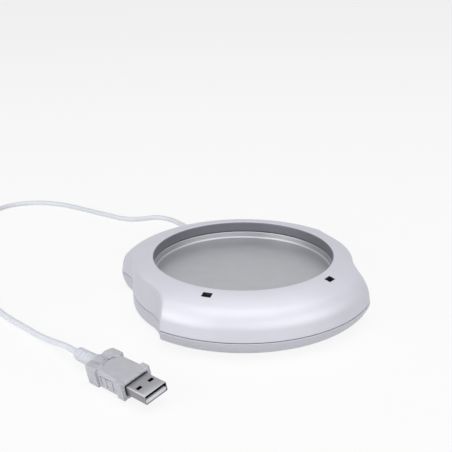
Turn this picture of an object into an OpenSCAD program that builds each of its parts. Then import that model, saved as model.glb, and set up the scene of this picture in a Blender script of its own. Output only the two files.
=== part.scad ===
// Electric mug warmer: a two-lobed body with a heated dish, a rear cord and a USB plug.
// Millimetres. Z is up, the origin is on the table under the dish's centre, and -Y is the front.

/* [Cover] */
// Radius of the dish opening in the cover
rim_r = 46.5; // [45:0.5:47]
// Height of the opening's rim above the table
body_h = 26.5; // [26:0.5:28]
// Radius of the crown's arc, from the rim to the shoulder
crown_r = 53.4; // [50:0.1:56]
// Slope of the crown at the rim, in degrees
rim_slope = 6.1; // [5:0.1:8]
// Slope of the crown where the shoulder starts, in degrees
crown_end = 20.9; // [19:0.1:23]
// Radius of the shoulder's arc
shoulder_r = 11.2; // [10.5:0.1:12]
// Draft of the skirt below the shoulder, in degrees
skirt_draft = 9.3; // [8:0.1:10]
// Wall of the cover and of the tray
wall = 2; // [1.8:0.1:2.2]

/* [Outline] */
// Radius of the waist wall in the two side notches, at the seam
waist_r = 57.7; // [57.4:0.1:58]
// Radius of the hollow flank between the waist and a lobe's tip, at the seam
flank_r = 29.5; // [28:0.1:31]
// Half of the angle that the plain waist wall takes, in degrees
waist_half = 17.2; // [16:0.1:18]
// Lean of the cover's notch walls towards the centre, in degrees
notch_lean = 4.3; // [3.5:0.1:4.8]
// How far the notches sit in front of the side axis, in degrees
notch_forward = 3.3; // [2:0.1:4]

/* [Tray] */
// Height of the seam between the tray and the cover
seam_z = 9.2; // [9:0.1:9.6]
// Open gap along the seam
seam_gap = 0.3; // [0.2:0.05:0.4]
// Height of the tray's underside above the table
under_z = 0.9; // [0.8:0.1:1]
// Radius of the tray's rounded bottom edge
tray_round = 8.8; // [8.4:0.1:9]

/* [Heating plate] */
// Depth of the dish below the rim
dish_depth = 9.5; // [9:0.1:10]
// Height of the cover's own wall inside the opening
recess_skirt = 5.5; // [5:0.1:6]
// Thickness of the pressed plate
plate_t = 1.2; // [1:0.1:1.4]
// Outer radius of the plate's flange
flange_r = 50.4; // [50:0.1:50.6]

/* [Indicator windows] */
// Angle of each window from the front axis, in degrees
window_angle = 36; // [34:1:37]
// Distance of the windows from the centre
window_r = 52.6; // [52.4:0.1:52.8]
// Length of a window around the body
window_l = 4.8; // [4.4:0.1:5]
// Width of a window
window_w = 3.4; // [3:0.1:3.6]

/* [Switch] */
// Travel of the switch knob
switch_travel = 3; // [2.5:0.1:3]
// Height of the switch above the table
switch_z = 15.5; // [15:0.5:16]

/* [Cord and plug] */
// Diameter of the cord
cord_d = 3; // [2.8:0.1:3.2]
// Length of the plug's shell that shows
shell_l = 12.5; // [12:0.1:13]
// Radius of the stored coil at the middle of its turns
coil_mean_r = 16.6; // [16:0.2:17]

/* [Hidden] */
$fn = 96;
eps = 0.01;

// Cover section: the arc centres follow from the rim, so each arc starts where the last ends
crown_c = [rim_r, body_h] - crown_r * [sin(rim_slope), cos(rim_slope)];
shoulder_c = crown_c + (crown_r - shoulder_r) * [sin(crown_end), cos(crown_end)];
// How far the cover's notch walls have leaned in at a height
function leaned(z) = (z - seam_z) * tan(notch_lean);
function skirt_at(z, inset) =
    let (s = shoulder_c + (shoulder_r - inset) * [cos(skirt_draft), sin(skirt_draft)])
    s.x + (s.y - z) * tan(skirt_draft);
lobe_r = skirt_at(seam_z, 0);
function arc(c, r, from, to, steps) =
    [for (i = [0:steps]) let (a = from + (to - from) * i / steps) c + r * [sin(a), cos(a)]];
crown_steps = 4;
shoulder_steps = 8;

// Heights and radii that the inner pieces share
cover_z = seam_z + seam_gap / 2;
tray_z = seam_z - seam_gap / 2;
floor_z = under_z + wall;
dish_z = body_h - dish_depth;
skirt_z = body_h - recess_skirt;
flange_z = skirt_z - 0.4;
flange_under = flange_z - plate_t;
carrier_ri = rim_r + 1.9;
carrier_h = 6;
film_z = dish_z - plate_t;
film_t = 0.3;
track_t = 0.2;
film_r = 38;
pad_r = 40;
pad_t = 2.5;
pad_z = film_z - film_t - track_t;
press_r = 46;
press_t = 1.2;
press_z = pad_z - pad_t;
nut_z = press_z - press_t;
stud_angles = [90, 210, 330];
stud_place_r = 43.4;
stud_r = 1.4;

// Cover screws, one near each end of both lobes
screw_r = 58.5;
screw_angles = [45, 135, 225, 315];
boss_r = 3.2;
head_r = 2.5;
shank_r = 1.3;
head_z = under_z + 0.5;
head_h = 1.8;

// Feet
foot_r = 5;
foot_place_r = 48.5;
foot_pocket = 0.8;

// Circuit board, a crescent under the front lobe
board_ri = 51;
board_ro = 63;
board_half = 41;
board_z = 8;
board_t = 1.6;
board_top = board_z + board_t;
board_screw_r = 59;
board_screw_angle = 14;

// Switch, behind the waist wall on +X
switch_face = 54.6;
switch_depth = 4;
switch_l = 11;
switch_h = 5;
knob_l = 3.4;
knob_h = 2.2;
knob_end = 58.1;
slot_l = 7.4;
slot_h = 2.8;

// Cord exit, through the tray's rear wall
cord_r = cord_d / 2;
exit_z = 6.2;
grommet_in = 62.6;
grommet_end = 78;
grommet_bore = cord_r + 0.05;
neck_r = 2.6;
flange_out_r = 3.6;
flange_l = 1.6;
inner_end = 67;
lie_z = cord_r + 0.1;
clamp_y = 57;
clamp_top = exit_z + cord_r + 1.4;
clamp_posts = [-6, 6];

// Stored coil: columns of turns side by side, in layers, on the table beside the cord's route
coil_at = [-150, 80];
coil_columns = 3;
coil_layers = 2;
coil_pitch = cord_d + 0.2;
coil_half = coil_columns * coil_pitch / 2;
coil_base = 0.6;
coil_h = coil_layers * coil_pitch;
coil_touch = coil_at.x + coil_mean_r + coil_pitch;
tie_t = 0.5;
tie_w = 6;

// Plug: local X runs out of its mouth, and its mouth is at the local origin
plug_at = [-66.1, -91.8];
plug_turn = -60.8;
plug_roll = 10.8;
plug_pitch = 1.9;
shell_w = 12;
shell_h = 4.5;
shell_t = 0.3;
shell_in = 6;
collar_l = 4;
grip_l = 14;
shoulder_l = 6.5;
taper_l = 2.5;
collar_half = 8.5;
grip_half = 7.2;
back_half = 8.7;
rear_half = 6;
plug_top = 4.5;
grip_top = 4.1;
back_top = 4.8;
grip_low = -5;
back_low = -5.5;
edge_cut = 0.9;
panel_cut = 1.6;
bay_r = 5;
keel_half = 2;
boot_l = 15;
boot_out_r = 3.05;
boot_in_r = 3.5;
collar_x = -shell_l;
grip_x = collar_x - collar_l;
back_x = grip_x - grip_l;
taper_x = back_x - shoulder_l;
rear_x = taper_x - taper_l;
tail_x = rear_x - boot_l;
core_x = -shell_l - shell_in;
core_end = taper_x - 0.5;
// The plug lies on the bevel beside the keel of its shoulder, with its mouth a little raised
plug_z = keel_half * sin(plug_roll) + 0.05
    - (taper_x * sin(plug_pitch) + back_low * cos(plug_pitch)) * cos(plug_roll);
axis_side = -sin(plug_pitch) * sin(plug_roll);
plug_axis = [
    cos(plug_pitch) * cos(plug_turn) - axis_side * sin(plug_turn),
    cos(plug_pitch) * sin(plug_turn) + axis_side * cos(plug_turn),
    sin(plug_pitch) * cos(plug_roll)
];
plug_tail = [plug_at.x, plug_at.y, plug_z] + tail_x * plug_axis;

// The cord's two free stretches, each from the piece that it leaves to the coil and back
route_rear = [
    [0, inner_end, exit_z], [0, grommet_end, exit_z], [0, 82, 6], [0, 88, 4.8], [-0.5, 95, 3],
    [-1.5, 102, 1.9], [-3.5, 110, lie_z], [-7, 120, lie_z], [-12, 129.5, lie_z], [-19, 134.5, lie_z],
    [-27, 134.5, lie_z], [-34, 135.5, lie_z], [-41, 140, lie_z], [-47, 147, lie_z],
    [-53, 154, lie_z], [-60, 162.5, lie_z], [-68, 172, lie_z], [-78, 181.5, lie_z],
    [-90, 188, lie_z], [-103, 189.5, lie_z], [-115, 185, lie_z], [-123.5, 175, lie_z],
    [-128, 161, lie_z], [-129.8, 145, lie_z], [-130.2, 128, lie_z], [-130.2, 110, lie_z],
    [coil_touch, coil_at.y + 16, lie_z], [coil_touch, coil_at.y + 4, lie_z + 0.4]
];
route_front = [
    [coil_touch, coil_at.y - 4, coil_base + coil_h - 1.8], [coil_touch, 66, 4.4], [-130.1, 54, 3],
    [-129.6, 42, 2], [-127.8, 30, lie_z], [-124.4, 18.5, lie_z], [-119.4, 7.5, lie_z],
    [-113.6, -3, lie_z], [-108.5, -12.8, 1.7], [-104, -21.4, 2.5], [-99.9, -29, 3.8],
    [-96.3, -35.8, 4.8], plug_tail
];

function unit(v) = v / norm(v);
function last(v) = len(v) - 1;
// Direction of a route at one of its points
function heading(v, i) = unit(v[min(i + 1, last(v))] - v[max(i - 1, 0)]);
// A spline point between points i and i + 1 of a route
function spline(v, i, t) =
    let (a = v[max(i - 1, 0)], b = v[i], c = v[i + 1], d = v[min(i + 2, last(v))])
    0.5 * (2 * b + (c - a) * t + (2 * a - 5 * b + 4 * c - d) * t * t
        + (3 * b - a - 3 * c + d) * t * t * t);
function halved(v) =
    [for (i = [0:last(v)]) each (i < last(v) && norm(v[i + 1] - v[i]) > 9)
        ? [v[i], spline(v, i, 0.5)] : [v[i]]];
function ring(v, i, r, sides) =
    let (t = heading(v, i), s = unit(cross(t, [0, 0, 1])), u = cross(s, t))
    [for (k = [0:sides - 1]) v[i] + r * (cos(360 * k / sides) * s + sin(360 * k / sides) * u)];

// A closed tube swept along a route
module tube(route, r, sides = 8) {
    v = halved(route);
    points = [for (i = [0:last(v)]) each ring(v, i, r, sides)];
    side_faces = [for (i = [0:last(v) - 1]) for (k = [0:sides - 1])
        let (n = (k + 1) % sides)
        [i * sides + k, (i + 1) * sides + k, (i + 1) * sides + n, i * sides + n]];
    start = [for (k = [0:sides - 1]) k];
    end = [for (k = [sides - 1:-1:0]) last(v) * sides + k];
    polyhedron(points, concat(side_faces, [start, end]));
}

// A wire bent round the body at one radius and height
module arc_wire(at_r, z, r, from, to) {
    rotate([0, 0, from])
        rotate_extrude(angle = to - from, $fn = 180) translate([at_r, z]) circle(r = r, $fn = 24);
}

module at_angle(a, r, z = 0) {
    rotate([0, 0, a]) translate([r, 0, z]) children();
}

module washer(ro, ri, h) {
    difference() {
        cylinder(r = ro, h = h);
        translate([0, 0, -1]) cylinder(r = ri, h = h + 2);
    }
}

// Plan of the body: two lobes, with a notch on each side down to the waist
module outline(inset) {
    flank_d = waist_r + flank_r;
    flank_x = flank_d * cos(waist_half);
    flank_y = flank_d * sin(waist_half);
    circle(r = waist_r - inset, $fn = 180);
    difference() {
        circle(r = lobe_r - inset, $fn = 180);
        for (side = [0, 1]) mirror([side, 0]) rotate(-notch_forward) {
            for (y = [-flank_y, flank_y]) translate([flank_x, y])
                circle(r = flank_r + inset, $fn = 120);
            polygon([[0, 0], [flank_x, -flank_y], [flank_x + 40, -flank_y],
                [flank_x + 40, flank_y], [flank_x, flank_y]]);
        }
    }
}

module lobed(from, to, inset) {
    translate([0, 0, from]) linear_extrude(to - from) outline(inset);
}

// The same two lobes with notch walls that lean in as they rise: each wall is part of a cone
module leaning_lobes(from, to, inset) {
    flank_d = waist_r + flank_r;
    flank_x = flank_d * cos(waist_half);
    flank_y = flank_d * sin(waist_half);
    translate([0, 0, from]) cylinder(
        r1 = waist_r - inset - leaned(from), r2 = waist_r - inset - leaned(to), h = to - from, $fn = 180);
    difference() {
        translate([0, 0, from]) cylinder(r = lobe_r + 1, h = to - from, $fn = 180);
        for (side = [0, 1]) mirror([side, 0]) rotate([0, 0, -notch_forward]) {
            for (y = [-flank_y, flank_y]) translate([flank_x, y, from - 1]) cylinder(
                r1 = flank_r + inset + leaned(from - 1), r2 = flank_r + inset + leaned(to + 1),
                h = to - from + 2, $fn = 120);
            translate([0, 0, from - 1]) linear_extrude(to - from + 2) polygon([
                [0, 0], [flank_x, -flank_y], [flank_x + 40, -flank_y],
                [flank_x + 40, flank_y], [flank_x, flank_y]
            ]);
        }
    }
}

// The cover's outer form, or the same form moved inwards
module cover_form(inset, bottom) {
    intersection() {
        rotate_extrude($fn = 180) polygon(concat(
            [[0, bottom], [0, body_h - inset], [rim_r, body_h - inset]],
            arc(crown_c, crown_r - inset, rim_slope, crown_end, crown_steps),
            arc(shoulder_c, shoulder_r - inset, crown_end, 90 - skirt_draft, shoulder_steps),
            [[skirt_at(bottom, inset), bottom]]
        ));
        leaning_lobes(bottom - 1, body_h + 1, inset);
    }
}

// The tray's outer form, or the same form moved inwards
module tray_form(inset, top) {
    c = [lobe_r - tray_round, under_z + tray_round];
    r = tray_round - inset;
    intersection() {
        rotate_extrude($fn = 180) polygon(concat(
            [[0, top], [0, under_z + inset]], arc(c, r, 180, 98, 6), [[c.x + r, top]]
        ));
        lobed(under_z - 1, top + 1, inset);
    }
}

// Radial boxes at the two indicator windows
module at_windows(l, w, from, to) {
    for (side = [-1, 1])
        at_angle(-90 + side * window_angle, window_r, (from + to) / 2)
            cube([w, l, to - from], center = true);
}

module top_cover() {
    rib_top = body_h - 1;
    color([0.80, 0.80, 0.83]) difference() {
        union() {
            difference() {
                cover_form(0, cover_z);
                cover_form(wall, cover_z - 2);
            }
            // Wall of the dish opening, and the rib that presses on the gasket
            intersection() {
                union() {
                    translate([0, 0, skirt_z]) cylinder(r = rim_r + 1.6, h = rib_top - skirt_z);
                    translate([0, 0, skirt_z + 1]) cylinder(r = flange_r - 0.2, h = rib_top - skirt_z - 1);
                }
                cover_form(wall / 2, skirt_z - 1);
            }
            // Screw bosses
            intersection() {
                for (a = screw_angles)
                    at_angle(a, screw_r, cover_z + 0.4) cylinder(r = boss_r, h = body_h);
                cover_form(wall / 2, cover_z);
            }
        }
        translate([0, 0, skirt_z - 1]) cylinder(r = rim_r, h = body_h);
        for (a = screw_angles) at_angle(a, screw_r, cover_z - 1) cylinder(r = shank_r + 0.05, h = 9.5);
        at_windows(window_l, window_w, skirt_z, body_h + 2);
        // Slot for the switch knob
        translate([waist_r, 0, switch_z]) cube([8, slot_l, slot_h], center = true);
    }
}

module base_tray() {
    lip_z = seam_z - 2;
    color([0.74, 0.74, 0.77]) difference() {
        union() {
            difference() {
                tray_form(0, tray_z);
                tray_form(wall, tray_z + 2);
            }
            // Locating lip that rises inside the cover
            difference() {
                union() {
                    lobed(lip_z, seam_z + 2, wall + 0.8);
                    lobed(lip_z, tray_z, wall / 2);
                }
                lobed(lip_z - 1, seam_z + 3, wall + 1.8);
                translate([0, lobe_r, seam_z]) cube([9, 16, 8], center = true);
            }
            for (a = screw_angles)
                at_angle(a, screw_r, floor_z - 1) cylinder(r = boss_r + 0.2, h = seam_z - floor_z + 1);
            for (side = [-1, 1])
                at_angle(-90 + side * board_screw_angle, board_screw_r, floor_z - 1)
                    cylinder(r = 2.6, h = board_z - floor_z + 1);
            // Posts that carry the cord clamp
            for (x = clamp_posts) translate([x, clamp_y, floor_z - 1]) cylinder(r = 2.2, h = 3.8);
        }
        for (a = screw_angles) at_angle(a, screw_r) {
            cylinder(r = head_r + 0.2, h = head_z + head_h);
            cylinder(r = shank_r + 0.3, h = seam_z + 1);
        }
        for (a = screw_angles) at_angle(a, foot_place_r)
            translate([0, 0, under_z - 1]) cylinder(r = foot_r + 0.1, h = foot_pocket + 1);
        for (side = [-1, 1])
            at_angle(-90 + side * board_screw_angle, board_screw_r, floor_z)
                cylinder(r = 1.05, h = board_z, $fn = 32);
        for (x = clamp_posts) translate([x, clamp_y, floor_z]) cylinder(r = 1.05, h = 6, $fn = 32);
        // Cord hole with a seat for the grommet's flange, and a shallow round field below
        translate([0, grommet_in - 3, exit_z]) rotate([-90, 0, 0]) {
            cylinder(r = neck_r + 0.05, h = 12);
            cylinder(r = flange_out_r + 0.1, h = 3 + flange_l);
        }
        translate([0, 0, under_z - 1]) cylinder(r = 20, h = 1.3);
    }
}

module rubber_feet() {
    color([0.16, 0.16, 0.17])
        for (a = screw_angles) at_angle(a, foot_place_r) {
            cylinder(r1 = foot_r - 0.5, r2 = foot_r, h = 0.5);
            translate([0, 0, 0.5]) cylinder(r = foot_r, h = under_z + foot_pocket - 0.5);
        }
}

// A screw standing on its head at z = 0, with a cross recess in the head
module screw(head, head_len, shank, length) {
    difference() {
        union() {
            cylinder(r = head, h = head_len);
            translate([0, 0, head_len - eps]) cylinder(r = shank, h = length + eps);
        }
        for (a = [0, 90]) rotate([0, 0, a]) translate([-head * 0.6, -head * 0.12, -1])
            cube([head * 1.2, head * 0.24, 1 + head_len * 0.5]);
    }
}

module cover_screws() {
    color([0.62, 0.62, 0.64])
        for (a = screw_angles) at_angle(a, screw_r, head_z) screw(head_r, head_h, shank_r, 13.5);
}

module heating_plate() {
    color([0.70, 0.70, 0.72]) rotate_extrude($fn = 180) polygon([
        [0, film_z], [rim_r + plate_t, film_z], [rim_r + plate_t, flange_under],
        [flange_r, flange_under], [flange_r, flange_z], [rim_r, flange_z],
        [rim_r, dish_z + 0.6], [rim_r - 0.6, dish_z], [0, dish_z]
    ]);
}

module plate_gasket() {
    color([0.85, 0.85, 0.84]) translate([0, 0, flange_z])
        washer(flange_r - 0.4, rim_r + 1.8, skirt_z + 1 - flange_z);
}

// Ring under the plate's flange, on four legs that stand on the tray
module plate_carrier() {
    color([0.25, 0.25, 0.27]) {
        translate([0, 0, flange_under - carrier_h]) washer(flange_r, carrier_ri, carrier_h);
        for (a = screw_angles) at_angle(a, carrier_ri + 0.2, floor_z)
            translate([0, -4, 0]) cube([1.6, 8, flange_under - floor_z - 2]);
    }
}

module heater_film() {
    color([0.78, 0.55, 0.22]) translate([0, 0, film_z - film_t]) {
        cylinder(r = film_r, h = film_t);
        translate([-5, -42, 0]) cube([10, 10, film_t]);
    }
}

// Resistance track: open rings, joined end to end into one path
module heater_track() {
    track_w = 2;
    track_step = 4;
    first_r = 8;
    turns = 7;
    color([0.55, 0.45, 0.40]) translate([0, 0, pad_z]) linear_extrude(track_t) {
        for (i = [0:turns - 1]) difference() {
            circle(r = first_r + i * track_step + track_w / 2);
            circle(r = first_r + i * track_step - track_w / 2);
            rotate(-90) translate([first_r + i * track_step, 0]) square([track_step, 4], center = true);
        }
        for (i = [0:turns - 2]) {
            side = i % 2 == 0 ? 1 : -1;
            translate([side * 3, -first_r - (i + 0.5) * track_step])
                square([track_w, track_step + track_w / 2], center = true);
        }
    }
}

module insulation_pad() {
    color([0.90, 0.89, 0.84]) translate([0, 0, press_z]) cylinder(r = pad_r, h = pad_t);
}

module pressure_plate() {
    color([0.66, 0.66, 0.68]) difference() {
        translate([0, 0, nut_z]) cylinder(r = press_r, h = press_t);
        for (a = stud_angles) at_angle(a, stud_place_r, nut_z - 1)
            cylinder(r = stud_r + 0.3, h = press_t + 2, $fn = 32);
    }
}

module plate_studs() {
    color([0.72, 0.72, 0.74]) for (a = stud_angles) at_angle(a, stud_place_r, nut_z - 4)
        cylinder(r = stud_r, h = film_z - nut_z + 4, $fn = 32);
}

module stud_nuts() {
    nut_h = 2.4;
    color([0.60, 0.60, 0.62]) for (a = stud_angles) at_angle(a, stud_place_r, nut_z - nut_h)
        difference() {
            cylinder(r = 3.1, h = nut_h, $fn = 6);
            translate([0, 0, -1]) cylinder(r = stud_r + 0.02, h = nut_h + 2, $fn = 32);
        }
}

module thermal_cutout() {
    color([0.35, 0.33, 0.30]) {
        translate([-6, -2.5, nut_z - 3.2]) cube([12, 5, 3.2]);
        for (x = [-6, 6]) translate([x, 0, nut_z - 1.6]) rotate([0, x < 0 ? -90 : 90, 0])
            cylinder(r = 0.4, h = 8, $fn = 24);
    }
}

// A flat sector of a ring about the -Y axis
module crescent(ro, ri, half, h) {
    rotate([0, 0, -90 - half]) rotate_extrude(angle = 2 * half, $fn = 180)
        translate([ri, 0]) square([ro - ri, h]);
}

module circuit_board() {
    color([0.10, 0.36, 0.20]) difference() {
        translate([0, 0, board_z]) crescent(board_ro, board_ri, board_half, board_t);
        for (side = [-1, 1]) at_angle(-90 + side * board_screw_angle, board_screw_r, board_z - 1)
            cylinder(r = 1.2, h = board_t + 2, $fn = 32);
    }
}

module board_components() {
    color([0.12, 0.12, 0.13]) translate([0, 0, board_top]) {
        at_angle(-90, 57, 0.9) cube([5, 6, 1.8], center = true);
        for (i = [-1, 1]) at_angle(-90 + 22 * i, 57.5) cylinder(r = 2.5, h = 6, $fn = 48);
        for (a = [-31, -27, -8, 8, 27, 31]) at_angle(-90 + a, 58.5, 0.4) cube([2, 1.3, 0.8], center = true);
        for (i = [-1, 1]) at_angle(-90 + 37 * i, 59, 1.5) cube([5, 4, 3], center = true);
    }
}

module board_screws() {
    color([0.62, 0.62, 0.64])
        for (side = [-1, 1]) at_angle(-90 + side * board_screw_angle, board_screw_r, board_top + 1.3)
            mirror([0, 0, 1]) screw(1.9, 1.3, 1, 5);
}

module indicator_leds() {
    color([0.92, 0.93, 0.90]) for (side = [-1, 1])
        at_angle(-90 + side * window_angle, window_r + 0.4, board_top) {
            translate([-1.4, -1.8, 0]) cube([2.8, 3.6, 1.6]);
            translate([0, 0, 1.6]) cylinder(r = 1.3, h = 1, $fn = 32);
        }
}

// Light guides that fill the windows to just below the cover's surface
module window_lenses() {
    color([0.05, 0.05, 0.06]) at_windows(window_l - 0.04, window_w - 0.04, board_top + 3, body_h - 2.8);
}

module switch_body() {
    color([0.55, 0.56, 0.58]) difference() {
        translate([switch_face - switch_depth, -switch_l / 2, switch_z - switch_h / 2])
            cube([switch_depth, switch_l, switch_h]);
        translate([switch_face - 1.9, -slot_l / 2, switch_z - slot_h / 2]) cube([4, slot_l, slot_h]);
    }
}

module switch_terminals() {
    color([0.80, 0.72, 0.45]) for (y = [-3, 0, 3])
        translate([switch_face - 2.4, y - 0.5, switch_z - switch_h / 2 - 1.9]) cube([0.6, 1, 1.9]);
}

// The knob rests at the off end of its travel
module switch_knob() {
    stem_x = switch_face - 1.6;
    color([0.88, 0.88, 0.89])
        translate([0, -(switch_travel + knob_l) / 2, switch_z - knob_h / 2]) {
            translate([stem_x, 0, 0]) cube([knob_end - 0.4 - stem_x, knob_l, knob_h]);
            for (i = [0:2]) translate([knob_end - 0.5, 0.3 + 1.1 * i, 0]) cube([0.5, 0.6, knob_h]);
        }
}

module heater_leads() {
    color([0.75, 0.12, 0.10]) for (x = [-3, 3]) tube([
        [x, -41, film_z - film_t - 0.62], [x, -45, 14.3], [x, -47.3, 12.5],
        [x, -51, 11.4], [x, -53, 10.6], [x, -54, board_top + 0.2]
    ], 0.6);
}

// Two leads that run from the board's +X end up to the switch's terminals
module switch_leads() {
    lead_r = 0.5;
    lead_z = switch_z - switch_h / 2 - 1.3;
    from = -90 + board_half - 1;
    color([0.15, 0.15, 0.16]) for (k = [0, 1]) {
        at_r = 51.6 + 1.2 * k;
        arc_wire(at_r, lead_z, lead_r, from, k == 0 ? -1.5 : -4);
        at_angle(from, at_r, board_top) cylinder(r = lead_r - 0.1, h = lead_z - board_top, $fn = 24);
    }
}

// Two leads that run from the cord's end round the -X side, and up to the board's underside
module supply_leads() {
    lead_r = 0.6;
    lead_z = exit_z + 0.2;
    to = 273 - board_half;
    color([0.70, 0.10, 0.10]) for (k = [0, 1]) {
        at_r = 51.8 + 1.6 * k;
        arc_wire(at_r, lead_z, lead_r, 89.5 + 2.5 * k, to);
        at_angle(to, at_r, lead_z) cylinder(r = lead_r - 0.1, h = board_z - lead_z, $fn = 24);
    }
}

// The cord's end inside the body, through its clamp
module inner_cord() {
    cut_y = 52.6;
    color([0.93, 0.93, 0.94]) translate([0, cut_y, exit_z]) rotate([-90, 0, 0])
        cylinder(r = cord_r - 0.05, h = inner_end - cut_y, $fn = 32);
}

module cable_clamp() {
    post_top = floor_z + 2.8;
    color([0.90, 0.90, 0.90]) difference() {
        translate([-8.5, clamp_y - 2.5, post_top]) cube([17, 5, clamp_top - post_top]);
        translate([0, clamp_y - 5, exit_z]) rotate([-90, 0, 0]) cylinder(r = cord_r, h = 10, $fn = 32);
        translate([-cord_r, clamp_y - 5, 0]) cube([cord_d, 10, exit_z]);
        for (x = clamp_posts) translate([x, clamp_y, 0]) cylinder(r = 1.15, h = 20, $fn = 32);
    }
}

module clamp_screws() {
    color([0.62, 0.62, 0.64]) for (x = clamp_posts) translate([x, clamp_y, clamp_top + 1.3])
        mirror([0, 0, 1]) screw(1.9, 1.3, 1, 5.6);
}

// Strain relief in the tray's rear wall: inner flange, neck, and a ribbed taper outside
module cord_grommet() {
    relief_r = 3;
    relief_in = 5.3;
    rib_pitch = 2.2;
    rib_w = 1.3;
    color([0.92, 0.92, 0.93]) translate([0, grommet_in, exit_z]) rotate([-90, 0, 0]) {
        rotate_extrude($fn = 64) polygon(concat(
            [[grommet_bore, 0], [flange_out_r, 0], [flange_out_r, flange_l], [neck_r, flange_l],
                [neck_r, relief_in], [relief_r, relief_in]],
            [for (i = [0:3], k = [0:3])
                [relief_r - 0.2 * i - (k > 1 ? 0.5 : 0),
                    relief_in + 0.8 + rib_pitch * i + (k == 1 || k == 2 ? rib_w : k == 3 ? rib_pitch : 0)]],
            [[2, grommet_end - grommet_in], [grommet_bore, grommet_end - grommet_in]]
        ));
    }
}

module cord_to_coil() {
    color([0.93, 0.93, 0.95]) tube(route_rear, cord_r);
}

module cord_to_plug() {
    color([0.93, 0.93, 0.95]) tube(route_front, cord_r);
}

module cord_coil() {
    color([0.93, 0.93, 0.95]) translate([coil_at.x, coil_at.y, coil_base])
        washer(coil_mean_r + coil_half, coil_mean_r - coil_half, coil_h);
}

module cord_tie() {
    slack = 0.35;
    inner = [2 * coil_half + slack + 0.2, tie_w + 1, coil_h + 0.1];
    outer = [inner.x + 2 * tie_t, tie_w, inner.z + 2 * tie_t];
    color([0.20, 0.20, 0.21])
        translate([coil_at.x - coil_mean_r + slack / 2, coil_at.y, coil_base + coil_h / 2])
            difference() {
                cube(outer, center = true);
                cube(inner, center = true);
            }
}

module at_plug() {
    translate([plug_at.x, plug_at.y, plug_z]) rotate([0, 0, plug_turn]) rotate([plug_roll, 0, 0])
        rotate([0, -plug_pitch, 0]) children();
}

// A box about the plug's axis, from x0 forward to x1
module axis_box(x0, x1, w, h) {
    translate([x0, -w / 2, -h / 2]) cube([x1 - x0, w, h]);
}

module plug_shell() {
    latch = [1.9, 2.6];
    latch_x = -6.7;
    latch_y = 3.3;
    color([0.75, 0.75, 0.77]) at_plug() difference() {
        axis_box(core_x, 0, shell_w, shell_h);
        axis_box(core_x - 1, 1, shell_w - 2 * shell_t, shell_h - 2 * shell_t);
        for (y = [-latch_y, latch_y])
            translate([latch_x, y, 0]) cube([latch.x, latch.y, shell_h + 2], center = true);
    }
}

module plug_tongue() {
    inner_w = shell_w - 2 * shell_t - 0.1;
    inner_h = shell_h - 2 * shell_t;
    color([0.95, 0.95, 0.96]) at_plug() {
        axis_box(core_x, core_x + shell_in, inner_w, inner_h);
        translate([core_x, -inner_w / 2, -inner_h / 2]) cube([-core_x - 0.5, inner_w, 1.85]);
    }
}

module plug_contacts() {
    contact_z = -(shell_h - 2 * shell_t) / 2 + 1.85;
    color([0.85, 0.68, 0.30]) at_plug() for (y = [-3.5, -1, 1, 3.5])
        translate([core_x + shell_in, y - 0.5, contact_z]) cube([-core_x - shell_in - 1.6, 1, 0.12]);
}

module plug_core() {
    color([0.85, 0.85, 0.86]) at_plug() axis_box(core_end, core_x, 10.6, 5);
}

// Section of the plug's grip: flat top with cut corners, and a keel with a bevel on each side below
module plug_section(half, top, corner, low) {
    side_z = low + (half - keel_half) * tan(plug_roll);
    polygon([
        [half - corner, top], [half, top - corner], [half, side_z], [keel_half, low],
        [-keel_half, low], [-half, side_z], [-half, top - corner], [corner - half, top]
    ]);
}

module along_plug(x0, x1) {
    translate([x0, 0, 0]) rotate([90, 0, 90]) linear_extrude(x1 - x0) children();
}

module plug_cover() {
    color([0.72, 0.72, 0.75, 0.9]) at_plug() difference() {
        union() {
            along_plug(grip_x, collar_x) plug_section(collar_half, plug_top, edge_cut, grip_low);
            along_plug(back_x - eps, grip_x + eps) plug_section(grip_half, grip_top, panel_cut, grip_low);
            intersection() {
                along_plug(rear_x, back_x) plug_section(back_half, back_top, edge_cut, back_low);
                translate([0, 0, -10]) linear_extrude(20) polygon([
                    [back_x, back_half], [taper_x, back_half], [rear_x, rear_half],
                    [rear_x, -rear_half], [taper_x, -back_half], [back_x, -back_half]
                ]);
            }
            // Finger ribs on both sides
            for (side = [-1, 1], i = [0:2])
                translate([grip_x - 1.9 - 3.6 * i, side * grip_half, -0.3])
                    cube([1.3, 1.2, 4.2], center = true);
        }
        // The flat panel on top ends in a round bay in the shoulder
        translate([back_x + bay_r - 1.5, 0, grip_top]) cylinder(r = bay_r, h = 4);
        axis_box(core_x, 1, shell_w + 0.1, shell_h + 0.1);
        axis_box(core_end - 0.1, core_x + eps, 10.8, 5.2);
        translate([rear_x - 1, 0, 0]) rotate([0, 90, 0])
            cylinder(r = boot_in_r + 0.05, h = core_end - rear_x + 1);
    }
}

// Ribbed sleeve where the cord leaves the plug
module plug_boot() {
    ribs = 5;
    rib = 2.6;
    gap = 0.9;
    slope = (boot_in_r - boot_out_r) / boot_l;
    color([0.94, 0.94, 0.95]) at_plug() translate([core_end - 0.1, 0, 0]) rotate([0, -90, 0]) {
        cylinder(r = boot_in_r, h = core_end - 0.1 - rear_x);
        translate([0, 0, core_end - 0.1 - rear_x]) rotate_extrude($fn = 64) polygon(concat(
            [[0, -1], [boot_in_r, -1]],
            [for (i = [0:ribs - 1], k = [0:3]) let (z = 1 + rib * i, r = boot_in_r - slope * z)
                [r - (k > 1 ? 0.35 : 0), z + (k == 1 || k == 2 ? rib - gap : k == 3 ? rib : 0)]],
            [[boot_out_r, boot_l], [0, boot_l]]
        ));
    }
}

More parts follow.
